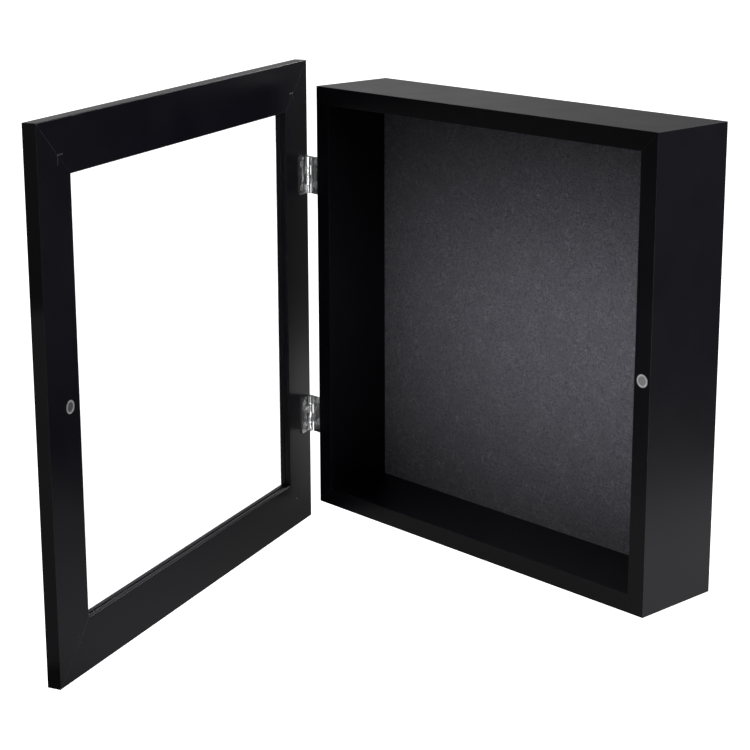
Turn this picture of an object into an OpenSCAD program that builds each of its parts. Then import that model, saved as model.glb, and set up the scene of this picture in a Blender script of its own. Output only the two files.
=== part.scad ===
// Wall-hung shadow box: a square display case of mitred rails with a fabric-covered back,
// and an overhanging glazed door on two cranked butt hinges, held shut by a pair of magnets.
// Frame: +X right, +Y towards the wall, +Z up. The origin is at the middle of the sawtooth hanger,
// where it meets the wall. The door is drawn standing open by door_open degrees.

/* [Case] */
// Width of the display space inside the case
display_w = 305; // [240:1:420]
// Height of the display space inside the case
display_h = 305; // [240:1:420]
// Thickness of the case rails
wall_t = 13.5; // [12:0.5:18]
// Depth of the case from its front lip to the wall side
case_d = 72; // [50:1:110]
// Clear depth from the front lip to the fabric
display_d = 58; // [36:1:90]
// Width of the rebate that the back boards sit in
rebate_w = 4; // [3:0.5:5]

/* [Door] */
// Overhang of the door past the case on every side
door_over = 18; // [17:0.5:24]
// Thickness of the door rails
door_t = 10; // [8.5:0.5:14]
// Width of the door rails
door_rail_w = 36; // [32:1:50]
// Angle that the door stands open at
door_open = 67; // [0:1:165]
// Thickness of the glass
glass_t = 2; // [2:0.5:3]
// Gap between the shut door and the case
door_gap = 0.4; // [0.3:0.1:1]

/* [Hinges] */
// Height of a hinge
hinge_h = 29; // [24:1:40]
// Distance of a hinge's middle from the case's top or bottom
hinge_inset = 70; // [40:1:100]
// Distance of the pin's axis from the case's side
pin_out = 13.5; // [12:0.5:15]
// Radius of the knuckles
knuckle_r = 2.1; // [1.9:0.1:2.4]
// Radius of the pin
pin_r = 1.1; // [0.9:0.1:1.2]
// Thickness of the hinge leaves
leaf_t = 1; // [0.8:0.1:1.2]

/* [Catch] */
// Radius of a magnet's steel cup
cup_r = 4.5; // [4:0.5:5.5]
// Depth of a magnet's steel cup
cup_d = 4; // [3:0.5:5]

/* [Wall fittings] */
// Length of the sawtooth hanger
hanger_l = 44; // [34:2:60]

/* [Hidden] */
$fn = 48;
slack = 0.05;
over_cut = 1;

case_w = display_w + 2 * wall_t;
case_h = display_h + 2 * wall_t;
rim_w = wall_t - rebate_w;
case_top = rim_w / 2;
mid_z = case_top - case_h / 2;
case_left = -case_w / 2;
hanger_t = 0.7;
hanger_rise = 1.5;
case_back = -(hanger_t + hanger_rise);
case_front = case_back - case_d;

fabric_t = 0.8;
board_t = 3;
panel_t = 3;
board_gap = 0.5;
rebate_d = case_d - display_d;
board_w = display_w + 2 * (rebate_w - board_gap);
board_h = display_h + 2 * (rebate_w - board_gap);
panel_back = -rebate_d + fabric_t + board_t + panel_t;

point_w = 8;
point_t = 0.5;
point_in = 5;
point_out = 6;
point_at = 60;

door_w = case_w + 2 * door_over;
door_h = case_h + 2 * door_over;
door_back = case_front - door_gap;
groove_d = 5;
groove_at = 4.4;
glass_in = groove_d - board_gap;
quirk = 0.6;
quirk_at = 0.9;

vnail_t = 0.6;
door_vnail_arm = 6.5;
door_vnail_at = 22;
door_vnail_d = 6;
case_vnail_arm = 4.5;
case_vnail_at = 2.5;
case_vnail_d = 8;
vnail_sink = 0.2;

cup_wall = 1.3;
magnet_r = cup_r - cup_wall;
magnet_z = mid_z;
magnet_x = case_w / 2 - wall_t / 2;
cup_proud = 0.15;
magnet_sunk = 0.2;

leaf_lift = knuckle_r + 0.3;
pin_x = case_left - pin_out;
pin_y = door_back + leaf_lift;
door_leaf_w = 11.8;
flange_l = 15;
leaf_round = 2;
bend_r = 1.6;
knuckles = 4;
knuckle_gap = 0.3;
knuckle_clear = 0.4;
screw_z = 9;
door_screw_x = 6.9;
flange_screw_y = leaf_lift + 7;
screw_r = 1.2;
screw_head_r = 2.9;
screw_head_h = 1.6;
screw_l = 7.5;
screw_sunk = 0.3;
pin_proud = 0.4;
hinge_zs = [case_top - hinge_inset, case_top - case_h + hinge_inset];

hanger_h = 8;
hanger_tab = 8;
tooth_w = 3;
tooth_d = 2;
teeth = 7;
nail_r = 0.7;
nail_head_r = 1.5;
nail_head_t = 0.6;
nail_l = 8;
bumper_r = 4;
bumper_t = hanger_t + hanger_rise;
bumper_in = 15;

// ---- placing ----

// Side 0 is the top, 1 the right, 2 the bottom and 3 the left of a rectangle w by h.
// Children are drawn as a top rail whose outer edge is at z = 0 and whose back is at y = 0.
module on_side(side, w, h, back) {
    translate([0, back, mid_z])
        rotate([0, 90 * side, 0])
            translate([0, 0, (side % 2 == 0 ? h : w) / 2])
                children();
}

// Turns what is drawn for the shut door to where it stands open.
module swung() {
    translate([pin_x, pin_y, 0])
        rotate([0, 0, -door_open])
            translate([-pin_x, -pin_y, 0])
                children();
}

// Places a hinge part, drawn about the pin's axis, at hinge 0 (upper) or 1 (lower).
module at_hinge(which) {
    translate([pin_x, pin_y, hinge_zs[which]]) children();
}

// Moves a cylinder or screw that points up +Z so that it points along +Y or -X.
module facing_back() rotate([-90, 0, 0]) children();
module facing_left() rotate([0, -90, 0]) children();

// ---- shared shapes ----

// A bar with mitred ends: outer edge along z = 0, inner edge at z = -width, y from 0 to -depth.
module mitred_bar(length, width, depth) {
    rotate([90, 0, 0])
        linear_extrude(depth)
            polygon([[-length / 2, 0], [length / 2, 0],
                [length / 2 - width, -width], [-length / 2 + width, -width]]);
}

// The outline of a corner nail: two arms from an outer corner, towards the middle.
module vnail_outline(arm, grow, sx, sz) {
    a = arm + grow;
    t = vnail_t + grow;
    g = -grow;
    corners = [[g, g], [a, g], [a, t], [t, t], [t, a], [g, a]];
    polygon([for (p = corners) [-sx * p.x, -sz * p.y]]);
}

// Four corner nails in a frame w by h, driven from the face at y, at a distance from its edges.
module vnails(w, h, y, at, arm, depth, grow = 0) {
    for (sx = [-1, 1], sz = [-1, 1])
        translate([sx * (w / 2 - at), y, mid_z + sz * (h / 2 - at)])
            rotate([90, 0, 0])
                linear_extrude(depth)
                    vnail_outline(arm, grow, sx, sz);
}

module case_vnails(grow = 0) {
    sink = grow > 0 ? -over_cut : vnail_sink;
    vnails(case_w, case_h, case_back - sink, case_vnail_at, case_vnail_arm, case_vnail_d - sink, grow);
}

module door_vnails(grow = 0) {
    sink = grow > 0 ? -over_cut : vnail_sink;
    vnails(door_w, door_h, door_back - sink, door_vnail_at, door_vnail_arm, door_vnail_d - sink, grow);
}

// A countersunk screw with a cross recess: leaf's outer face at z = 0, tip down.
module screw() {
    recess_l = 3.4;
    recess_w = 0.6;
    recess_d = 0.7;
    tip_h = 2;
    translate([0, 0, -screw_sunk])
        difference() {
            union() {
                translate([0, 0, -screw_head_h])
                    cylinder(h = screw_head_h, r1 = screw_r, r2 = screw_head_r);
                translate([0, 0, -screw_l + tip_h])
                    cylinder(h = screw_l - tip_h - screw_head_h, r = screw_r);
                translate([0, 0, -screw_l])
                    cylinder(h = tip_h, r1 = 0.2, r2 = screw_r);
            }
            for (a = [0, 90])
                rotate([0, 0, a])
                    translate([-recess_l / 2, -recess_w / 2, -recess_d])
                        cube([recess_l, recess_w, recess_d + over_cut]);
        }
}

// The room that a screw takes in a leaf and in the wood under it: leaf's outer face at z = 0.
module screw_room() {
    depth = screw_head_h + screw_sunk;
    narrow = screw_r + slack;
    wide = narrow + (screw_head_r - screw_r) * depth / screw_head_h;
    cylinder(h = over_cut, r = wide);
    translate([0, 0, -depth])
        cylinder(h = depth, r1 = narrow, r2 = wide);
    translate([0, 0, -screw_l - screw_sunk - slack])
        cylinder(h = screw_l, r = narrow);
}

// ---- case ----

module cup_pocket() {
    cylinder(h = cup_d + over_cut, r = cup_r + slack);
}

module point_slots(length) {
    for (x = [-point_at, point_at])
        translate([x - point_w / 2 - slack, panel_back - slack, -rim_w - over_cut])
            cube([point_w + 2 * slack, point_t + 2 * slack, point_in + slack + over_cut]);
}

module case_rail(side) {
    length = side % 2 == 0 ? case_w : case_h;
    difference() {
        on_side(side, case_w, case_h, case_back)
            difference() {
                mitred_bar(length, wall_t, case_d);
                translate([-length / 2, -rebate_d, -wall_t - over_cut])
                    cube([length, rebate_d + over_cut, rebate_w + over_cut]);
                point_slots(length);
            }
        case_vnails(grow = slack);
    }
}

module case_top_rail() {
    color([0.03, 0.03, 0.035])
        difference() {
            case_rail(0);
            hanger_nail_holes(nail_l + slack);
        }
}

module case_right_rail() {
    color([0.03, 0.03, 0.035])
        difference() {
            case_rail(1);
            translate([magnet_x, case_front - over_cut, magnet_z])
                facing_back() cup_pocket();
        }
}

module case_bottom_rail() {
    color([0.03, 0.03, 0.035]) case_rail(2);
}

module case_left_rail() {
    color([0.03, 0.03, 0.035])
        difference() {
            case_rail(3);
            for (h = [0, 1], z = [-screw_z, screw_z])
                at_hinge(h)
                    translate([pin_out - leaf_t, flange_screw_y, z])
                        facing_left() screw_room();
        }
}

module case_corner_nails() {
    color([0.6, 0.6, 0.62]) case_vnails();
}

// ---- back ----

module board(thickness, front) {
    translate([-board_w / 2, case_back + front, mid_z - board_h / 2])
        cube([board_w, thickness, board_h]);
}

module backing_fabric() {
    color([0.16, 0.16, 0.17]) board(fabric_t, -rebate_d);
}

module backing_board() {
    color([0.45, 0.4, 0.33]) board(board_t, -rebate_d + fabric_t);
}

module back_panel() {
    color([0.3, 0.2, 0.13]) board(panel_t, -rebate_d + fabric_t + board_t);
}

// Flat steel points, pushed into the rebate's wall and lying on the back panel.
module back_points() {
    color([0.6, 0.6, 0.62])
        for (side = [0:3])
            on_side(side, case_w, case_h, case_back)
                for (x = [-point_at, point_at])
                    translate([x - point_w / 2, panel_back, -rim_w - point_out])
                        cube([point_w, point_t, point_in + point_out]);
}

// ---- catch ----

// A steel cup with its mouth towards +Z and its rim at z = 0.
module magnet_cup() {
    floor_t = 0.8;
    translate([0, 0, -cup_d])
        difference() {
            cylinder(h = cup_d, r = cup_r);
            translate([0, 0, floor_t])
                cylinder(h = cup_d, r = magnet_r + slack);
        }
}

module magnet() {
    floor_t = 0.8;
    translate([0, 0, -cup_d + floor_t])
        cylinder(h = cup_d - floor_t - magnet_sunk, r = magnet_r);
}

// Faces a catch part towards -Y, out of the case's front lip.
module on_case_lip() {
    translate([magnet_x, case_front - cup_proud, magnet_z])
        rotate([90, 0, 0]) children();
}

// Faces a catch part towards +Y, out of the shut door's back.
module on_door_back() {
    translate([magnet_x, door_back + cup_proud, magnet_z])
        facing_back() children();
}

module case_magnet_cup() { color([0.75, 0.75, 0.77]) on_case_lip() magnet_cup(); }
module case_magnet() { color([0.45, 0.45, 0.47]) on_case_lip() magnet(); }
module door_magnet_cup() { color([0.75, 0.75, 0.77]) swung() on_door_back() magnet_cup(); }
module door_magnet() { color([0.3, 0.3, 0.32]) swung() on_door_back() magnet(); }

// ---- wall fittings ----

// Calls its children at each of the hanger's two nails, pointing +Y from the case's back.
module at_hanger_nails() {
    for (end = [-1, 1])
        translate([end * (hanger_l - hanger_tab) / 2, case_back, 0])
            facing_back() children();
}

module hanger_nail_holes(depth) {
    at_hanger_nails()
        translate([0, 0, -depth]) cylinder(h = depth + over_cut, r = nail_r + slack);
}

module hanger_nails() {
    color([0.75, 0.68, 0.45])
        at_hanger_nails() {
            translate([0, 0, -nail_l])
                cylinder(h = nail_l + hanger_t + nail_head_t, r = nail_r);
            translate([0, 0, hanger_t])
                cylinder(h = nail_head_t, r = nail_head_r);
        }
}

// The hanger's bent strip, seen from above: flat end tabs and a bridge that stands off between them.
module hanger_strip() {
    half = hanger_l / 2;
    flat = half - hanger_tab;
    lean = 0.3;
    outer = [[-half, hanger_t], [-flat, hanger_t], [-flat + hanger_rise, hanger_t + hanger_rise],
        [flat - hanger_rise, hanger_t + hanger_rise], [flat, hanger_t], [half, hanger_t]];
    inner = [[half, 0], [flat + lean, 0], [flat - hanger_rise + lean, hanger_rise],
        [-flat + hanger_rise - lean, hanger_rise], [-flat - lean, 0], [-half, 0]];
    linear_extrude(hanger_h) polygon(concat(outer, inner));
}

// One notch between two teeth of the hanger, cut right through the bridge.
module hanger_notch() {
    half = tooth_w / 2;
    rotate([90, 0, 0])
        linear_extrude(hanger_rise + 2 * over_cut)
            polygon([[-half, -over_cut], [-half, 0], [0, tooth_d], [half, 0], [half, -over_cut]]);
}

module wall_hanger() {
    color([0.78, 0.7, 0.45])
        difference() {
            translate([0, case_back, -hanger_h / 2]) hanger_strip();
            hanger_nail_holes(over_cut);
            for (i = [0 : teeth - 1])
                translate([(i - (teeth - 1) / 2) * tooth_w, over_cut, -hanger_h / 2]) hanger_notch();
        }
}

module wall_bumpers() {
    color([0.1, 0.1, 0.1])
        for (side = [-1, 1])
            translate([side * (case_w / 2 - bumper_in), case_back, case_top - case_h + rim_w / 2])
                facing_back() cylinder(h = bumper_t, r = bumper_r);
}

// ---- hinges ----

// The knuckles that belong to the other leaf, every second one from first, counted from the bottom.
module not_own_knuckles(first) {
    pitch = hinge_h / knuckles;
    reach = knuckle_r + knuckle_clear;
    for (i = [first : 2 : knuckles - 1])
        translate([-reach, -reach, -hinge_h / 2 + i * pitch - knuckle_gap / 2])
            cube([2 * reach, 2 * reach, pitch + knuckle_gap]);
}

// A flat plate from the pin's axis to a width, with its two far corners rounded. Drawn in XY.
module plate_outline(width) {
    square_w = width + knuckle_r + over_cut;
    translate([-knuckle_r - over_cut, -hinge_h / 2 + leaf_round])
        square([square_w, hinge_h - 2 * leaf_round]);
    translate([-knuckle_r - over_cut, -hinge_h / 2])
        square([square_w - leaf_round, hinge_h]);
    for (y = [-1, 1])
        translate([width - leaf_round, y * (hinge_h / 2 - leaf_round)])
            circle(r = leaf_round);
}

module pin_bore() {
    translate([0, 0, -hinge_h])
        cylinder(h = 2 * hinge_h, r = pin_r + slack);
}

// The flat leaf on the door's back: drawn shut, about the pin's axis.
module door_leaf() {
    difference() {
        union() {
            translate([0, 0, -hinge_h / 2]) cylinder(h = hinge_h, r = knuckle_r);
            translate([0, -leaf_lift + leaf_t, 0])
                rotate([90, 0, 0])
                    linear_extrude(leaf_t)
                        intersection() {
                            plate_outline(door_leaf_w);
                            translate([-knuckle_r / 2, -hinge_h / 2]) square([door_leaf_w * 2, hinge_h]);
                        }
        }
        not_own_knuckles(1);
        pin_bore();
        for (z = [-screw_z, screw_z])
            translate([door_screw_x, -leaf_lift + leaf_t, z])
                facing_back() screw_room();
    }
}

// The cranked leaf's section: from the pin straight to the case's side, then back along it.
module cranked_section() {
    far = pin_out;
    near = knuckle_r - leaf_t;
    circle(r = knuckle_r);
    translate([-knuckle_r / 2, near]) square([far - bend_r + knuckle_r / 2, leaf_t]);
    translate([far - leaf_t, near + bend_r]) square([leaf_t, flange_l - bend_r]);
    intersection() {
        translate([far - bend_r, near + bend_r])
            difference() {
                circle(r = bend_r);
                circle(r = bend_r - leaf_t);
            }
        translate([far - bend_r, near]) square([bend_r, bend_r]);
    }
}

// Rounds the two far corners of the cranked leaf's flange.
module flange_corners() {
    end = knuckle_r - leaf_t + flange_l;
    for (z = [-1, 1])
        translate([pin_out - leaf_t - over_cut, end - leaf_round, z * (hinge_h / 2 - leaf_round)])
            rotate([0, 90, 0])
                difference() {
                    translate([z > 0 ? -leaf_round - over_cut : 0, 0, 0])
                        cube([leaf_round + over_cut, leaf_round + over_cut, leaf_t + 2 * over_cut]);
                    translate([0, 0, -over_cut])
                        cylinder(h = leaf_t + 4 * over_cut, r = leaf_round);
                }
}

module case_leaf() {
    difference() {
        translate([0, 0, -hinge_h / 2]) linear_extrude(hinge_h) cranked_section();
        not_own_knuckles(0);
        pin_bore();
        flange_corners();
        for (z = [-screw_z, screw_z])
            translate([pin_out - leaf_t, flange_screw_y, z])
                facing_left() screw_room();
    }
}

module hinge_pin() {
    length = hinge_h + 2 * pin_proud;
    translate([0, 0, -length / 2]) cylinder(h = length, r = pin_r);
}

module case_leaf_screws() {
    for (z = [-screw_z, screw_z])
        translate([pin_out - leaf_t, flange_screw_y, z])
            facing_left() screw();
}

module door_leaf_screws() {
    for (z = [-screw_z, screw_z])
        translate([door_screw_x, -leaf_lift + leaf_t, z])
            facing_back() screw();
}

module upper_hinge_case_leaf() { color([0.7, 0.7, 0.72]) at_hinge(0) case_leaf(); }
module lower_hinge_case_leaf() { color([0.7, 0.7, 0.72]) at_hinge(1) case_leaf(); }
module upper_hinge_pin() { color([0.6, 0.6, 0.62]) at_hinge(0) hinge_pin(); }
module lower_hinge_pin() { color([0.6, 0.6, 0.62]) at_hinge(1) hinge_pin(); }
module upper_hinge_case_screws() { color([0.7, 0.7, 0.72]) at_hinge(0) case_leaf_screws(); }
module lower_hinge_case_screws() { color([0.7, 0.7, 0.72]) at_hinge(1) case_leaf_screws(); }
module upper_hinge_door_leaf() { color([0.7, 0.7, 0.72]) swung() at_hinge(0) door_leaf(); }
module lower_hinge_door_leaf() { color([0.7, 0.7, 0.72]) swung() at_hinge(1) door_leaf(); }
module upper_hinge_door_screws() { color([0.7, 0.7, 0.72]) swung() at_hinge(0) door_leaf_screws(); }
module lower_hinge_door_screws() { color([0.7, 0.7, 0.72]) swung() at_hinge(1) door_leaf_screws(); }

// ---- door ----

// One mitred rail of the shut door, with the glass groove and a fine quirk line in its inner edge.
module door_rail(side) {
    length = side % 2 == 0 ? door_w : door_h;
    difference() {
        on_side(side, door_w, door_h, door_back)
            difference() {
                mitred_bar(length, door_rail_w, door_t);
                translate([-length / 2, -groove_at - glass_t - 2 * slack, -door_rail_w - over_cut])
                    cube([length, glass_t + 2 * slack, groove_d + over_cut]);
                translate([-length / 2, -quirk_at - quirk, -door_rail_w - over_cut])
                    cube([length, quirk, quirk + over_cut]);
            }
        door_vnails(grow = slack);
    }
}

module door_top_rail() { color([0.03, 0.03, 0.035]) swung() door_rail(0); }
module door_bottom_rail() { color([0.03, 0.03, 0.035]) swung() door_rail(2); }

module door_latch_stile() {
    color([0.03, 0.03, 0.035])
        swung()
            difference() {
                door_rail(1);
                translate([magnet_x, door_back + over_cut, magnet_z])
                    rotate([90, 0, 0]) cup_pocket();
            }
}

module door_hinge_stile() {
    color([0.03, 0.03, 0.035])
        swung()
            difference() {
                door_rail(3);
                for (h = [0, 1], z = [-screw_z, screw_z])
                    at_hinge(h)
                        translate([door_screw_x, -leaf_lift + leaf_t, z])
                            facing_back() screw_room();
            }
}

module door_corner_nails() { color([0.5, 0.5, 0.52]) swung() door_vnails(); }

module door_glass() {
    glass_w = door_w - 2 * (door_rail_w - glass_in);
    glass_h = door_h - 2 * (door_rail_w - glass_in);
    color([0.9, 0.95, 0.95, 0.3])
        swung()
            translate([-glass_w / 2, door_back - groove_at - slack - glass_t, mid_z - glass_h / 2])
                cube([glass_w, glass_t, glass_h]);
}

case_top_rail();
case_right_rail();
case_bottom_rail();
case_left_rail();
case_corner_nails();
backing_fabric();
backing_board();
back_panel();
back_points();
case_magnet_cup();
case_magnet();
wall_hanger();
hanger_nails();
wall_bumpers();
upper_hinge_case_leaf();
upper_hinge_pin();
upper_hinge_case_screws();
lower_hinge_case_leaf();
lower_hinge_pin();
lower_hinge_case_screws();
door_top_rail();
door_latch_stile();
door_bottom_rail();
door_hinge_stile();
door_corner_nails();
door_glass();
door_magnet_cup();
door_magnet();
upper_hinge_door_leaf();
upper_hinge_door_screws();
lower_hinge_door_leaf();
lower_hinge_door_screws();
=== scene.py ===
"""The looks of a wall-hung shadow box: black lacquer, a felt back, nickel hinges and magnets."""

import math
import random

import bmesh
import bpy
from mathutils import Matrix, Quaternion, Vector, noise


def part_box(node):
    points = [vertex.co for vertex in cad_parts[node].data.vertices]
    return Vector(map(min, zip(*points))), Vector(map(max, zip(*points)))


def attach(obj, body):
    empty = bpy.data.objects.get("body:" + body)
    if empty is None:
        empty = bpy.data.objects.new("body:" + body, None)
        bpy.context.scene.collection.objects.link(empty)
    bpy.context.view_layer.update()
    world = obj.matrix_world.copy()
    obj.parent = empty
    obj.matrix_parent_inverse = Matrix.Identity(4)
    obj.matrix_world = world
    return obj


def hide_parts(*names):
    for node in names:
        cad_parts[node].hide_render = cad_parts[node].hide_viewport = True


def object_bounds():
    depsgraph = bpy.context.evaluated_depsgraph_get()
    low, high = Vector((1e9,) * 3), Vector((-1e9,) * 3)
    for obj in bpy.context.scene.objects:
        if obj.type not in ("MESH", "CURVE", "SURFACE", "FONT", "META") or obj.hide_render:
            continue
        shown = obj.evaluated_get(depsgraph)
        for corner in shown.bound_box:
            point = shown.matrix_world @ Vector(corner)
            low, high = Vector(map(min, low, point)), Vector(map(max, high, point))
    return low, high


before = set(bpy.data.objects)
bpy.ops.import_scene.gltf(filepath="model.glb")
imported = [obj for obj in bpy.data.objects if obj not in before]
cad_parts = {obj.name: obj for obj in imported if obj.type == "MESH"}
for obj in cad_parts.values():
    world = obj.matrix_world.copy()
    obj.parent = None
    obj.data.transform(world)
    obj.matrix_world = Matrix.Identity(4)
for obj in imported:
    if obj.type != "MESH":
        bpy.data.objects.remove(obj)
cad_low, cad_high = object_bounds()
MM = 0.001


# ---- camera ----

CAMERA_PLACE = Vector((0.9622, -1.0550, 0.1922))
CAMERA_AZIMUTH = math.radians(47.76)
CAMERA_ELEVATION = math.radians(14.22)
CAMERA_ROLL = math.radians(-0.27)
CAMERA_LENS = 94.55
CAMERA_SHIFT = (0.020, -0.060)
CAMERA_CLIP = (0.05, 50)


def make_camera():
    data = bpy.data.cameras.new("camera")
    data.lens = CAMERA_LENS
    data.shift_x, data.shift_y = CAMERA_SHIFT
    data.clip_start, data.clip_end = CAMERA_CLIP
    camera = bpy.data.objects.new("camera", data)
    bpy.context.scene.collection.objects.link(camera)
    flat = math.cos(CAMERA_ELEVATION)
    ahead = Vector((
        -math.sin(CAMERA_AZIMUTH) * flat,
        math.cos(CAMERA_AZIMUTH) * flat,
        -math.sin(CAMERA_ELEVATION),
    ))
    camera.location = CAMERA_PLACE
    camera.rotation_mode = "QUATERNION"
    camera.rotation_quaternion = ahead.to_track_quat("-Z", "Y") @ Quaternion((0, 0, 1), CAMERA_ROLL)
    bpy.context.scene.camera = camera


# ---- node helpers ----


def feed(tree, sockets, values):
    """Gives each socket its value: a constant, another node's output, or None for nothing."""
    for socket, value in zip(sockets, values):
        if isinstance(value, bpy.types.NodeSocket):
            tree.links.new(value, socket)
        elif value is not None:
            socket.default_value = value


def maths(tree, operation, a, b):
    node = tree.nodes.new("ShaderNodeMath")
    node.operation = operation
    feed(tree, node.inputs, (a, b))
    return node.outputs[0]


def measure(tree, operation, a, b=None):
    """One number from one or two vectors, such as a length or a dot product."""
    node = tree.nodes.new("ShaderNodeVectorMath")
    node.operation = operation
    feed(tree, node.inputs, (a, b))
    return node.outputs["Value"]


def colour_ramp(tree, factor, stops, interpolation="LINEAR"):
    """Colours or greys along a factor: each stop is (position, value)."""
    node = tree.nodes.new("ShaderNodeValToRGB")
    ramp = node.color_ramp
    ramp.interpolation = interpolation
    while len(ramp.elements) < len(stops):
        ramp.elements.new(0.5)
    for element, (position, value) in zip(ramp.elements, stops):
        element.position = position
        element.color = (*value, 1) if hasattr(value, "__len__") else (value, value, value, 1)
    tree.links.new(factor, node.inputs["Fac"])
    return node.outputs["Color"]


def smooth_range(tree, value, start, end):
    """Changes smoothly as value goes from start to end, which are each (value, result)."""
    node = tree.nodes.new("ShaderNodeMapRange")
    node.interpolation_type = "SMOOTHSTEP"
    node.inputs["From Min"].default_value, node.inputs["To Min"].default_value = start
    node.inputs["From Max"].default_value, node.inputs["To Max"].default_value = end
    tree.links.new(value, node.inputs["Value"])
    return node.outputs["Result"]


class Nodes:
    """A Principled material and short calls that add nodes to it."""

    def __init__(self, name, colour, roughness, metallic=0.0):
        self.material = bpy.data.materials.new(name)
        self.material.use_nodes = True
        self.tree = self.material.node_tree
        self.shader = self.tree.nodes["Principled BSDF"]
        self.place = self.tree.nodes.new("ShaderNodeTexCoord").outputs["Object"]
        self.set("Base Color", (*colour, 1))
        self.set("Roughness", roughness)
        self.set("Metallic", metallic)

    def set(self, socket, value):
        self.shader.inputs[socket].default_value = value

    def link(self, output, target):
        self.tree.links.new(output, target)

    def scaled(self, sx, sy, sz):
        """The place in the piece, stretched along each axis."""
        mapping = self.tree.nodes.new("ShaderNodeMapping")
        mapping.inputs["Scale"].default_value = (sx, sy, sz)
        self.link(self.place, mapping.inputs["Vector"])
        return mapping.outputs["Vector"]

    def noise(self, size, detail=3.0, rough=0.5, place=None, distortion=0.0):
        """Cloudy noise whose blobs are about size metres across."""
        node = self.tree.nodes.new("ShaderNodeTexNoise")
        node.inputs["Scale"].default_value = 1 / size
        node.inputs["Detail"].default_value = detail
        node.inputs["Roughness"].default_value = rough
        node.inputs["Distortion"].default_value = distortion
        self.link(place or self.place, node.inputs["Vector"])
        return node.outputs["Fac"]

    def cells(self, size, output="Distance"):
        """Cells about size metres across: the distance from a cell's middle, or its own colour."""
        node = self.tree.nodes.new("ShaderNodeTexVoronoi")
        node.inputs["Scale"].default_value = 1 / size
        self.link(self.place, node.inputs["Vector"])
        return node.outputs[output]

    def ramp(self, factor, *stops):
        return colour_ramp(self.tree, factor, stops)

    def mix(self, factor, a, b, kind="MIX"):
        """A mix of two colours. Factor, a and b may each be a value or another node's output."""
        node = self.tree.nodes.new("ShaderNodeMix")
        node.data_type = "RGBA"
        node.blend_type = kind
        colours = [value if isinstance(value, bpy.types.NodeSocket) else (*value, 1) for value in (a, b)]
        feed(self.tree, (node.inputs[0], node.inputs[6], node.inputs[7]), (factor, *colours))
        return node.outputs[2]

    def times(self, a, b):
        return maths(self.tree, "MULTIPLY", a, b)

    def worn_edges(self, width):
        """1 on a sharp edge of the piece and 0 away from it."""
        bevel = self.tree.nodes.new("ShaderNodeBevel")
        bevel.samples = 4
        bevel.inputs["Radius"].default_value = width
        flat = self.tree.nodes.new("ShaderNodeNewGeometry").outputs["Normal"]
        alike = measure(self.tree, "DOT_PRODUCT", bevel.outputs["Normal"], flat)
        return maths(self.tree, "SUBTRACT", 1.0, alike)

    def bump(self, height, depth, previous=None):
        """Relief of the given depth in metres, on top of an earlier one."""
        node = self.tree.nodes.new("ShaderNodeBump")
        node.inputs["Distance"].default_value = depth
        self.link(height, node.inputs["Height"])
        if previous is not None:
            self.link(previous, node.inputs["Normal"])
        self.link(node.outputs["Normal"], self.shader.inputs["Normal"])
        return node.outputs["Normal"]

    def colour(self, output):
        self.link(output, self.shader.inputs["Base Color"])

    def roughness(self, output):
        self.link(output, self.shader.inputs["Roughness"])


# ---- materials ----


LACQUER = (0.0017, 0.0015, 0.0039)
LACQUER_SHADES = ((0.0013, 0.0011, 0.0034), (0.0021, 0.0018, 0.0044))
# the pale grey of rubbed edges, which also serves as a painted edge highlight
RUBBED_AND_HIGHLIT_LACQUER = (0.085, 0.083, 0.085)


def black_lacquer(name, along):
    """Satin black lacquer over fibreboard, with a faint orange peel, sanding lines along one axis, and
    sharp edges painted lighter in patches: partly rubbed wear, partly a painted highlight.
    """
    m = Nodes(name, LACQUER, 0.3)
    stretch = [0.06 if axis == along else 1.0 for axis in "xyz"]
    lines = m.noise(0.7 * MM, 4.0, 0.6, m.scaled(*stretch))
    peel = m.noise(1.6 * MM, 2.0, 0.5)
    clouds = m.noise(38 * MM, 4.0, 0.6)
    rub_and_highlight_noise = m.noise(5 * MM, 5.0, 0.65)
    shade = m.mix(m.ramp(clouds, (0.35, 0.0), (0.7, 1.0)), *LACQUER_SHADES)
    # painted highlight: the lighter grey on sharp edges is partly rubbed lacquer and partly a highlight
    # painted into the colour
    rubbed_and_highlit_edge = m.ramp(m.times(m.worn_edges(0.5 * MM), rub_and_highlight_noise), (0.03, 0.0), (0.2, 1.0))
    m.colour(m.mix(rubbed_and_highlit_edge, shade, RUBBED_AND_HIGHLIT_LACQUER))
    m.roughness(m.ramp(m.mix(0.4, clouds, lines), (0.3, 0.27), (0.7, 0.34)))
    m.bump(lines, 0.010 * MM, m.bump(peel, 0.018 * MM))
    return m.material


FELT_DARK = (0.034, 0.034, 0.041)
FELT_MIDDLE = (0.074, 0.073, 0.087)
FELT_PALE = (0.148, 0.146, 0.170)
FELT_SPECKLE = (0.165, 0.163, 0.188)
# the painted shade of the felt's pits, which have no relief of their own
FELT_PIT_SHADE = (0.024, 0.024, 0.029)
FELT_STRAND = (0.25, 0.245, 0.28)
# the painted shadow beside each pale strand
FELT_STRAND_SHADOW = (0.040, 0.040, 0.049)


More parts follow.
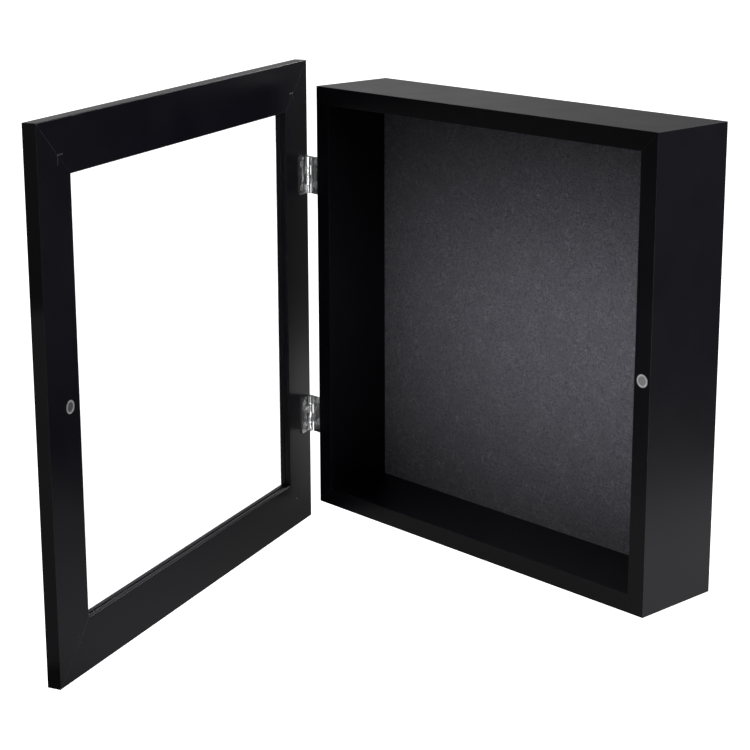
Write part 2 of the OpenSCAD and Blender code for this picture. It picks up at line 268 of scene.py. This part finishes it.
def charcoal_felt():
    """Needled grey felt: tufts, crossed fibres, dark spots of painted shade in its pits, and pale
    strands with painted shadows beside them.
    """
    m = Nodes("charcoal_felt", FELT_MIDDLE, 1.0)
    m.set("Specular IOR Level", 0.15)
    m.set("Sheen Weight", 0.25)
    m.set("Sheen Roughness", 0.6)
    m.set("Sheen Tint", (0.8, 0.8, 0.85, 1))
    tufts = m.noise(2.6 * MM, 5.0, 0.75, distortion=1.2)
    fibres = m.noise(0.8 * MM, 3.0, 0.7, m.scaled(1.0, 1.0, 0.3), 2.0)
    cross = m.noise(0.8 * MM, 3.0, 0.7, m.scaled(0.3, 1.0, 1.0), 2.0)
    # painted shade: dark spots in the middles of the cells stand in for the shade in the felt's pits
    pit_shade_mask = m.cells(2.6 * MM)
    swirls = m.noise(7 * MM, 3.0, 0.55, distortion=2.2)
    patches = m.ramp(m.noise(15 * MM, 2.0), (0.38, 0.25), (0.6, 1.0))
    strands = m.times(patches, m.ramp(swirls, (0.47, 0.0), (0.5, 0.9), (0.53, 0.0)))
    # painted shadow: a dark band just beside each pale strand, where its shadow would fall
    strand_shadows = m.times(patches, m.ramp(swirls, (0.53, 0.0), (0.555, 0.5), (0.58, 0.0)))
    base = m.ramp(tufts, (0.34, FELT_DARK), (0.5, FELT_MIDDLE), (0.68, FELT_PALE))
    weave = m.mix(0.5, fibres, cross)
    speckled = m.mix(m.ramp(weave, (0.42, 0.0), (0.62, 0.9)), base, FELT_SPECKLE)
    pit_shaded = m.mix(m.ramp(pit_shade_mask, (0.0, 0.85), (0.3, 0.0)), speckled, FELT_PIT_SHADE)
    m.colour(m.mix(strand_shadows, m.mix(strands, pit_shaded, FELT_STRAND), FELT_STRAND_SHADOW))
    m.bump(weave, 0.25 * MM, m.bump(strands, 0.2 * MM, m.bump(tufts, 0.5 * MM)))
    return m.material


def felt_fibre():
    """The single pale hairs that stand out of the felt."""
    m = Nodes("felt_fibre", (0.16, 0.16, 0.165), 0.9)
    m.set("Specular IOR Level", 0.2)
    dark, pale = (0.08, 0.08, 0.083), (0.2, 0.2, 0.205)
    m.colour(m.ramp(m.noise(4 * MM), (0.3, dark), (0.7, pale)))
    return m.material


NICKEL_BRIGHT = Vector((0.84, 0.84, 0.86))
NICKEL_DULL = Vector((0.52, 0.51, 0.51))


def nickel(name, roughness, metallic=1.0, level=1.0, dents=0.0):
    """Nickel with polishing lines and a little tarnish. With dents it is a pressed, scuffed plate."""
    bright, dull = NICKEL_BRIGHT * level, NICKEL_DULL * level
    m = Nodes(name, bright, roughness, metallic)
    lines = m.noise(0.12 * MM, 2.0, 0.6, m.scaled(1.0, 1.0, 0.08))
    haze = m.noise(2.5 * MM, 5.0, 0.6)
    m.colour(m.mix(m.ramp(haze, (0.42, 0.0), (0.78, 1.0)), bright, dull))
    m.roughness(m.ramp(haze, (0.3, roughness), (0.8, roughness + 0.16)))
    pressed = None
    if dents:
        pressed = m.bump(m.noise(2.2 * MM, 1.0, 0.5), dents)
        rims = m.ramp(m.worn_edges(0.25 * MM), (0.03, metallic), (0.25, 0.3))
        m.link(rims, m.shader.inputs["Metallic"])
    m.bump(lines, 0.004 * MM, pressed)
    return m.material


MAGNET_PLATE = (0.36, 0.36, 0.37)
MAGNET_CHIP = (0.12, 0.12, 0.12)


def magnet_face(name, metallic):
    """A magnet's dull plated face, chipped a little."""
    m = Nodes(name, MAGNET_PLATE, 0.45, metallic)
    grains = m.noise(0.35 * MM, 4.0, 0.7)
    chips = m.cells(1.3 * MM)
    m.colour(m.mix(m.ramp(chips, (0.05, 1.0), (0.16, 0.0)), MAGNET_PLATE, MAGNET_CHIP))
    m.roughness(m.ramp(grains, (0.3, 0.34), (0.7, 0.55)))
    m.bump(grains, 0.02 * MM)
    return m.material


def clear_glass():
    """Clear float glass with the faintest wiping haze. Lamps shine straight through it."""
    m = Nodes("clear_glass", (0.985, 0.995, 0.99), 0.0)
    m.set("IOR", 1.5)
    m.set("Transmission Weight", 1.0)
    wiped = m.noise(30 * MM, 3.0, 0.6, m.scaled(1.0, 1.0, 0.3))
    m.roughness(m.ramp(wiped, (0.55, 0.0), (0.9, 0.03)))
    nodes = m.tree.nodes
    path = nodes.new("ShaderNodeLightPath")
    clear = nodes.new("ShaderNodeBsdfTransparent")
    both = nodes.new("ShaderNodeMixShader")
    m.link(path.outputs["Is Shadow Ray"], both.inputs["Fac"])
    m.link(m.shader.outputs["BSDF"], both.inputs[1])
    m.link(clear.outputs["BSDF"], both.inputs[2])
    m.link(both.outputs["Shader"], nodes["Material Output"].inputs["Surface"])
    return m.material


def plated_steel(name, colour, dark, roughness):
    """Zinc or brass plate with a faint spangle and dull, raised spots."""
    m = Nodes(name, colour, roughness, 1.0)
    spangle = m.cells(3.5 * MM, output="Color")
    spots = m.noise(1.8 * MM, 5.0, 0.7)
    tint = m.mix(0.12, colour, spangle, "OVERLAY")
    m.colour(m.mix(m.ramp(spots, (0.5, 0.0), (0.75, 0.8)), tint, dark))
    m.roughness(m.ramp(spots, (0.3, roughness), (0.75, roughness + 0.25)))
    m.bump(spots, 0.02 * MM)
    return m.material


def blackened_steel():
    """The corner nails' ends, painted over with the rail."""
    m = Nodes("blackened_steel", (0.03, 0.03, 0.032), 0.5)
    brushed = m.noise(0.4 * MM, 4.0, 0.6)
    dark, pale = (0.010, 0.010, 0.011), (0.05, 0.05, 0.052)
    m.colour(m.ramp(brushed, (0.35, dark), (0.75, pale)))
    m.roughness(m.ramp(brushed, (0.3, 0.4), (0.7, 0.6)))
    m.bump(brushed, 0.03 * MM)
    return m.material


def hardboard():
    """Brown hardboard: matted fibres under a smooth, slightly waxy pressed face."""
    m = Nodes("hardboard", (0.13, 0.075, 0.042), 0.55)
    clouds = m.noise(22 * MM, 4.0, 0.6)
    long_x = m.noise(1.2 * MM, 4.0, 0.7, m.scaled(0.12, 1.0, 1.0), 1.0)
    long_z = m.noise(1.2 * MM, 4.0, 0.7, m.scaled(1.0, 1.0, 0.12), 1.0)
    fibres = m.mix(0.5, long_x, long_z)
    dark, middle, pale = (0.105, 0.058, 0.031), (0.17, 0.102, 0.060), (0.25, 0.165, 0.105)
    base = m.mix(m.ramp(clouds, (0.3, 0.0), (0.7, 1.0)), dark, middle)
    m.colour(m.mix(m.ramp(fibres, (0.42, 0.0), (0.62, 0.7)), base, pale))
    m.roughness(m.ramp(fibres, (0.3, 0.45), (0.7, 0.68)))
    m.bump(fibres, 0.06 * MM)
    return m.material


def grey_board():
    """Plain recycled board between the felt and the back panel."""
    m = Nodes("grey_board", (0.3, 0.28, 0.25), 0.85)
    flecks = m.noise(0.9 * MM, 5.0, 0.75)
    dark, middle, pale = (0.20, 0.19, 0.17), (0.30, 0.285, 0.26), (0.40, 0.385, 0.35)
    m.colour(m.ramp(flecks, (0.35, dark), (0.5, middle), (0.7, pale)))
    m.bump(flecks, 0.08 * MM)
    return m.material


def bumper_rubber():
    """Matt black rubber, dusty on its high spots."""
    m = Nodes("bumper_rubber", (0.02, 0.02, 0.02), 0.8)
    grain = m.noise(0.4 * MM, 3.0, 0.6)
    dust = m.noise(2 * MM, 5.0, 0.7)
    clean, dusty = (0.016, 0.016, 0.016), (0.09, 0.088, 0.083)
    m.colour(m.mix(m.ramp(dust, (0.5, 0.0), (0.8, 0.6)), clean, dusty))
    m.roughness(m.ramp(grain, (0.3, 0.7), (0.7, 0.9)))
    m.bump(grain, 0.05 * MM)
    return m.material


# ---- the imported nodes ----


def rounding_nodes():
    """Nodes that weight the bevel: all of it on a long sharp edge, less on a short one, as a mitre's."""
    tree = bpy.data.node_groups.new("rounding", "GeometryNodeTree")
    tree.interface.new_socket("Geometry", in_out="INPUT", socket_type="NodeSocketGeometry")
    tree.interface.new_socket("Geometry", in_out="OUTPUT", socket_type="NodeSocketGeometry")
    new, link = tree.nodes.new, tree.links.new
    angle = new("GeometryNodeInputMeshEdgeAngle").outputs["Unsigned Angle"]
    sharp = maths(tree, "GREATER_THAN", angle, SHARP_ANGLE)
    ends = new("GeometryNodeInputMeshEdgeVertices").outputs
    length = measure(tree, "DISTANCE", ends["Position 1"], ends["Position 2"])
    is_long = maths(tree, "GREATER_THAN", length, LONG_EDGE)
    share = maths(tree, "ADD", maths(tree, "MULTIPLY", is_long, 1 - SHORT_SHARE), SHORT_SHARE)
    weight = maths(tree, "MULTIPLY", sharp, share)
    store = new("GeometryNodeStoreNamedAttribute")
    store.data_type, store.domain = "FLOAT", "EDGE"
    store.inputs["Name"].default_value = "bevel_weight_edge"
    link(new("NodeGroupInput").outputs[0], store.inputs["Geometry"])
    link(weight, store.inputs["Value"])
    link(store.outputs[0], new("NodeGroupOutput").inputs[0])
    return tree


SHARP_ANGLE = math.radians(35)
LONG_EDGE = 90 * MM
SHORT_SHARE = 0.5
RAIL_ROUNDING = 0.7 * MM
WELD_GAP = 0.002 * MM
ROUNDING = rounding_nodes()


def finish_node(name, material, bevel=0.0, segments=3, arrises=False):
    """Gives a CAD node its material and, where asked, fine rounded edges."""
    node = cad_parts[name]
    node.data.materials.clear()
    node.data.materials.append(material)
    for face in node.data.polygons:
        face.material_index = 0
    if bevel:
        weld = node.modifiers.new("weld", "WELD")
        weld.merge_threshold = WELD_GAP
        if arrises:
            node.modifiers.new("rounding", "NODES").node_group = ROUNDING
        edges = node.modifiers.new("edges", "BEVEL")
        edges.width = bevel
        edges.segments = segments
        edges.limit_method = "WEIGHT" if arrises else "ANGLE"
        edges.angle_limit = SHARP_ANGLE
        edges.harden_normals = False
        edges.use_clamp_overlap = True
        normals = node.modifiers.new("normals", "WEIGHTED_NORMAL")
        normals.keep_sharp = True


def finish_nodes():
    level = black_lacquer("black_lacquer_level", "x")
    upright = black_lacquer("black_lacquer_upright", "z")
    plate = nickel("nickel_plate", 0.09, level=0.8, dents=0.14 * MM)
    screw = nickel("nickel_screw", 0.24, 0.55, 0.95)
    pin = nickel("nickel_pin", 0.24)
    brass = plated_steel("brass_plate", (0.62, 0.47, 0.22), (0.30, 0.20, 0.08), 0.28)
    zinc = plated_steel("zinc_plate", (0.45, 0.46, 0.48), (0.20, 0.20, 0.21), 0.36)
    black_steel = blackened_steel()
    for name in ("case_top_rail", "case_bottom_rail", "door_top_rail", "door_bottom_rail"):
        finish_node(name, level, RAIL_ROUNDING, 4, arrises=True)
    for name in ("case_left_rail", "case_right_rail", "door_hinge_stile", "door_latch_stile"):
        finish_node(name, upright, RAIL_ROUNDING, 4, arrises=True)
    for end in ("upper", "lower"):
        for leaf in ("case_leaf", "door_leaf"):
            finish_node(f"{end}_hinge_{leaf}", plate, 0.28 * MM, 3)
        for screws in ("case_screws", "door_screws"):
            finish_node(f"{end}_hinge_{screws}", screw, 0.12 * MM, 2)
        finish_node(f"{end}_hinge_pin", pin, 0.2 * MM)
    finish_node("case_magnet_cup", nickel("nickel_satin", 0.34, 0.4, 0.95), 0.3 * MM)
    finish_node("case_magnet", magnet_face("magnet_satin", 0.4), 0.15 * MM)
    finish_node("door_magnet_cup", nickel("nickel_worn", 0.3, 0.7, 0.95), 0.4 * MM)
    finish_node("door_magnet", magnet_face("magnet_dark", 1.0), 0.15 * MM)
    finish_node("door_corner_nails", black_steel)
    finish_node("case_corner_nails", zinc, 0.05 * MM, 1)
    finish_node("back_points", zinc, 0.08 * MM, 1)
    finish_node("wall_hanger", brass, 0.1 * MM, 2)
    finish_node("hanger_nails", brass, 0.2 * MM, 2)
    finish_node("wall_bumpers", bumper_rubber(), 0.5 * MM, 4)
    finish_node("back_panel", hardboard(), 0.2 * MM, 2)
    finish_node("backing_board", grey_board())
    finish_node("door_glass", clear_glass(), 0.1 * MM, 1)


# ---- felt ----

FELT_CELL = 2.4 * MM
FELT_RELIEF = 0.16 * MM
FELT_BROAD_WAVE = 9 * MM
FELT_FINE_WAVE = 3 * MM
FIBRES = 2600
FIBRE_SEED = 11
FIBRE_EDGE = 5 * MM
FIBRE_BEND = 2.2
FIBRE_LENGTH = (2.5 * MM, 7 * MM)
FIBRE_STEPS = 5
FIBRE_LIFT = 0.12 * MM
FIBRE_ARCH = 0.16 * MM
FIBRE_WIDTH = 0.09 * MM


def felt_height(x, z):
    """How far the felt's face stands out at a place, from 0 to about 1."""
    broad = noise.noise(Vector((x / FELT_BROAD_WAVE, z / FELT_BROAD_WAVE, 3.1)))
    fine = noise.noise(Vector((x / FELT_FINE_WAVE, z / FELT_FINE_WAVE, 7.7)))
    return 0.5 + 0.3 * broad + 0.45 * fine


def add_mesh(name, build):
    """A new object in the scene, made of a finished bmesh."""
    mesh = bpy.data.meshes.new(name)
    build.to_mesh(mesh)
    build.free()
    piece = bpy.data.objects.new(name, mesh)
    bpy.context.scene.collection.objects.link(piece)
    return piece


def make_felt():
    """The felt glued over the backing board: one sheet with a softly uneven face."""
    low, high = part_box("backing_fabric")
    columns = round((high.x - low.x) / FELT_CELL)
    rows = round((high.z - low.z) / FELT_CELL)
    build = bmesh.new()
    grids = []
    for front in (True, False):
        grid = []
        for j in range(rows + 1):
            z = low.z + (high.z - low.z) * j / rows
            line = []
            for i in range(columns + 1):
                x = low.x + (high.x - low.x) * i / columns
                y = low.y + FELT_RELIEF * (1 - felt_height(x, z)) if front else high.y
                line.append(build.verts.new((x, y, z)))
            grid.append(line)
        grids.append(grid)
    face, back = grids
    for j in range(rows):
        for i in range(columns):
            build.faces.new((face[j][i], face[j][i + 1], face[j + 1][i + 1], face[j + 1][i]))
            build.faces.new((back[j][i], back[j + 1][i], back[j + 1][i + 1], back[j][i + 1]))
    rim = [(0, i) for i in range(columns)] + [(j, columns) for j in range(rows)]
    rim += [(rows, i) for i in range(columns, 0, -1)] + [(j, 0) for j in range(rows, 0, -1)]
    for (j0, i0), (j1, i1) in zip(rim, rim[1:] + rim[:1]):
        build.faces.new((face[j0][i0], back[j0][i0], back[j1][i1], face[j1][i1]))
    for f in build.faces:
        f.smooth = True
    felt = add_mesh("felt_back", build)
    felt.data.materials.append(charcoal_felt())
    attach(felt, "case")
    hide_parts("backing_fabric")


def make_fibres():
    """Loose hairs lying on the felt, each a thin curved strip that narrows at both ends."""
    rng = random.Random(FIBRE_SEED)
    low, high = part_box("backing_fabric")
    build = bmesh.new()
    for _ in range(FIBRES):
        x = rng.uniform(low.x + FIBRE_EDGE, high.x - FIBRE_EDGE)
        z = rng.uniform(low.z + FIBRE_EDGE, high.z - FIBRE_EDGE)
        heading = rng.uniform(0, 2 * math.pi)
        bend = rng.uniform(-FIBRE_BEND, FIBRE_BEND)
        length = rng.uniform(*FIBRE_LENGTH)
        left, right = [], []
        for k in range(FIBRE_STEPS + 1):
            turn = heading + bend * k / FIBRE_STEPS
            rise = FIBRE_LIFT + FIBRE_ARCH * math.sin(math.pi * k / FIBRE_STEPS)
            y = low.y + FELT_RELIEF * (1 - felt_height(x, z)) - rise
            half = FIBRE_WIDTH * (0.5 if 0 < k < FIBRE_STEPS else 0.2)
            side = Vector((-math.sin(turn), 0, math.cos(turn))) * half
            left.append(build.verts.new(Vector((x, y, z)) + side))
            right.append(build.verts.new(Vector((x, y, z)) - side))
            x += math.cos(turn) * length / FIBRE_STEPS
            z += math.sin(turn) * length / FIBRE_STEPS
        for k in range(FIBRE_STEPS):
            build.faces.new((left[k], left[k + 1], right[k + 1], right[k]))
    hairs = add_mesh("felt_hairs", build)
    hairs.data.materials.append(felt_fibre())
    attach(hairs, "case")


# ---- stage ----

FLOOR_RADIUS = 2.4
FLOOR_SIDES = 96
FLOOR_DROP = 12 * MM
# the strength at which the floor and the world are seen
SEEN = 1.5
# below this depth, not counting glass, a ray has only gone straight on
STRAIGHT_TO_FLOOR = 0.5
STRAIGHT_TO_WORLD = 1.5
# the floor's light by distance from its middle: (metres, strength)
POOL_MIDDLE = Vector((-0.03, 0.06))
POOL = ((0.0, 0.19), (0.36, 0.52), (0.54, 0.085))
# how it changes from the front to the wall: (metres along FROM_FRONT, factor)
FROM_FRONT = Vector((0.3, 0.95, 0.0))
POOL_SHADED = (-0.13, 0.45)
POOL_OPEN = (0.02, 1.14)
# the world's light by direction: (cosine of the angle from the glow, strength)
GLOW_FROM = Vector((-0.84, 0.47, 0.26)).normalized()
WORLD_DIM = (0.87, 0.105)
WORLD_GLOW = (1.0, 0.42)


def seen_or_lit(tree, lit, straight_depth):
    """The strength of a glow that is seen white, also through glass, and lights things as lit says."""
    path = tree.nodes.new("ShaderNodeLightPath").outputs
    turns = maths(tree, "SUBTRACT", path["Ray Depth"], path["Transmission Depth"])
    straight = maths(tree, "LESS_THAN", turns, straight_depth)
    through = maths(tree, "MULTIPLY", path["Is Transmission Ray"], straight)
    seen = maths(tree, "MAXIMUM", path["Is Camera Ray"], through)
    level = tree.nodes.new("ShaderNodeMix")
    feed(tree, (level.inputs[0], level.inputs[2], level.inputs[3]), (seen, lit, SEEN))
    return level.outputs[0]


def make_floor():
    """A plain pale floor just under the door. Its light is a ring, weaker on the front side."""
    bpy.ops.mesh.primitive_circle_add(vertices=FLOOR_SIDES, radius=FLOOR_RADIUS, fill_type="NGON")
    floor = bpy.context.object
    floor.name = "floor"
    floor.location = (*POOL_MIDDLE, cad_low.z - FLOOR_DROP)
    material = bpy.data.materials.new("floor")
    material.use_nodes = True
    tree = material.node_tree
    nodes = tree.nodes
    nodes.remove(nodes["Principled BSDF"])
    place = nodes.new("ShaderNodeTexCoord").outputs["Object"]
    pool = colour_ramp(tree, measure(tree, "LENGTH", place), POOL, "EASE")
    along = measure(tree, "DOT_PRODUCT", place, FROM_FRONT)
    lit = maths(tree, "MULTIPLY", pool, smooth_range(tree, along, POOL_SHADED, POOL_OPEN))
    glow = nodes.new("ShaderNodeEmission")
    tree.links.new(seen_or_lit(tree, lit, STRAIGHT_TO_FLOOR), glow.inputs["Strength"])
    tree.links.new(glow.outputs["Emission"], nodes["Material Output"].inputs["Surface"])
    floor.data.materials.append(material)


def make_world():
    """White behind the object. Its light is dim, with a soft glow low on the left, behind."""
    world = bpy.data.worlds.new("world")
    bpy.context.scene.world = world
    world.use_nodes = True
    tree = world.node_tree
    direction = tree.nodes.new("ShaderNodeTexCoord").outputs["Generated"]
    nearness = measure(tree, "DOT_PRODUCT", direction, GLOW_FROM)
    lit = smooth_range(tree, nearness, WORLD_DIM, WORLD_GLOW)
    back = tree.nodes["Background"]
    back.inputs["Color"].default_value = (1, 1, 1, 1)
    tree.links.new(seen_or_lit(tree, lit, STRAIGHT_TO_WORLD), back.inputs["Strength"])


# name, place, what it faces, width, height, watts
PANELS = (
    ("left_panel", (-1.08, -0.50, 0.95), (0, -0.12, -0.16), 0.6, 0.6, 5),
    ("right_panel", (1.09, 0.27, 0.82), (0, -0.12, -0.16), 0.75, 0.75, 27),
    ("back_panel", (-0.35, 1.30, 0.55), (-0.15, -0.1, -0.15), 0.3, 0.3, 3),
    ("front_panel", (0.1, -1.35, -0.14), (-0.05, -0.4, -0.18), 0.4, 0.4, 0.16),
    ("low_panel", (-0.048, -0.435, -0.22), (-0.04, -0.408, -0.22), 0.05, 0.24, 0.0048),
)
# name, place, what it faces, cone in degrees, its scale across and upright, watts, radius
LAMPS = (
    ("case_lamp", (0.55, -1.45, -0.05), (0.079, -0.016, -0.161), 19.6, (1, 0.52), 49.5, 0.08),
    ("hinge_lamp", (1.14, -0.55, -0.28), (-0.18, -0.072, -0.19), 18, (0.16, 1), 14, 0.015),
    ("low_hinge_lamp", (0.06, -0.16, -0.345), (-0.18, -0.073, -0.257), 14, (0.4, 1), 0.5, 0.004),
)


def add_light(name, kind, place, target):
    data = bpy.data.lights.new(name, kind)
    light = bpy.data.objects.new(name, data)
    bpy.context.scene.collection.objects.link(light)
    light.location = place
    light.rotation_mode = "QUATERNION"
    light.rotation_quaternion = (Vector(target) - Vector(place)).to_track_quat("-Z", "Y")
    light.visible_camera = False
    light.visible_transmission = False
    return light


def make_lights():
    for name, place, target, width, height, watts in PANELS:
        panel = add_light(name, "AREA", place, target)
        panel.data.shape = "RECTANGLE"
        panel.data.size = width
        panel.data.size_y = height
        panel.data.energy = watts
    for name, place, target, angle, scale, watts, radius in LAMPS:
        lamp = add_light(name, "SPOT", place, target)
        lamp.scale = (*scale, 1)
        lamp.data.energy = watts
        lamp.data.spot_size = math.radians(angle)
        lamp.data.spot_blend = 1.0
        lamp.data.shadow_soft_size = radius


make_camera()
finish_nodes()
make_felt()
make_fibres()
make_floor()
make_world()
make_lights()
bpy.context.scene.view_settings.view_transform = "Standard"
